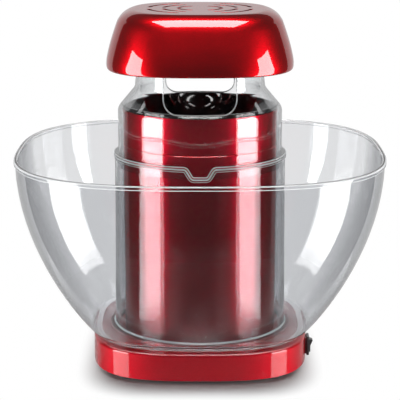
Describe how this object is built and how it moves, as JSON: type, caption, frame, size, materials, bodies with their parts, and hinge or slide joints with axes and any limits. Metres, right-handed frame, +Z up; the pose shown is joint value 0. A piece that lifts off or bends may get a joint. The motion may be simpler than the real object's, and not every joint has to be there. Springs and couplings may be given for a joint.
{
  "type": "popcorn maker",
  "caption": "Hot-air popcorn maker: red base and drum inside a clear ring-shaped bowl, with a clear windowed chimney and a vented red cap.",
  "frame": {"origin": "middle of the footprint, on the table under the four feet", "axes": "+Z up along the drum; -Y is the front, where the chimney's locating tab is; +X is the side with the switch; +Y is the back with the cord inlet"},
  "size_m": [0.292, 0.292, 0.282],
  "materials": {
    "red_lacquer": "glossy metallic red lacquer on moulded ABS",
    "red_drum": "glossy metallic red lacquer on drawn steel",
    "clear_plastic": "polished clear moulded plastic",
    "black_gloss": "glossy black moulded plastic",
    "black_matt": "fine-textured black moulded plastic",
    "foot_rubber": "matt black rubber",
    "dark_aluminium": "dark anodised drawn aluminium",
    "bright_steel": "tinned sheet steel",
    "screw_steel": "zinc plated",
    "fan_nylon": "natural heat-resistant nylon",
    "brass_tag": "stamped brass",
    "mica": "pressed mica sheet",
    "nichrome": "oxidised heating wire",
    "board": "phenolic circuit board",
    "ceramic": "unglazed white ceramic"
  },
  "bodies": {
    "base": {"base_housing": "red_lacquer", "base_plate": "black_matt", "rubber_feet": "foot_rubber", "base_screws": "screw_steel", "cord_bush": "foot_rubber", "cord_clamp": "black_matt", "clamp_screws": "screw_steel", "switch_frame": "black_gloss", "switch_terminals": "brass_tag", "drum_shell": "red_drum", "drum_screws": "screw_steel", "funnel_rim": "black_gloss", "popping_chamber": "dark_aluminium", "chamber_screws": "screw_steel", "fan_duct": "black_matt", "motor_can": "bright_steel", "motor_cover": "black_matt", "motor_screws": "screw_steel", "rectifier_board": "board", "rectifier_diodes": "black_matt", "heater_sleeve": "bright_steel", "sleeve_screws": "screw_steel", "mica_plate_lower": "mica", "mica_plate_upper": "mica", "heater_coil": "nichrome", "thermostat": "ceramic", "thermal_fuse": "bright_steel"},
    "rocker": {"switch_rocker": "black_gloss"},
    "fan_rotor": {"motor_shaft": "bright_steel", "fan_impeller": "fan_nylon"},
    "bowl": {"bowl": "clear_plastic"},
    "chimney": {"chimney": "clear_plastic"},
    "cap": {"cap_shell": "red_lacquer", "cap_liner": "black_matt", "cap_screws": "screw_steel"}
  },
  "joints": [
    {"name": "rocker_tilt", "type": "hinge", "parent": "base", "child": "rocker", "pos_m": [0.0854, -0.025, 0.01405], "axis": [0, -1, 0], "range_deg": [0, 22]},
    {"name": "fan_spin", "type": "hinge", "parent": "base", "child": "fan_rotor", "pos_m": [0, 0, 0.066], "axis": [0, 0, 1], "continuous": true},
    {"name": "bowl_lift", "type": "slide", "parent": "base", "child": "bowl", "axis": [0, 0, 1], "range_m": [0, 0.19]},
    {"name": "chimney_lift", "type": "slide", "parent": "bowl", "child": "chimney", "axis": [0, 0, 1], "range_m": [0, 0.06]},
    {"name": "cap_lift", "type": "slide", "parent": "chimney", "child": "cap", "axis": [0, 0, 1], "range_m": [0, 0.04]}
  ]
}
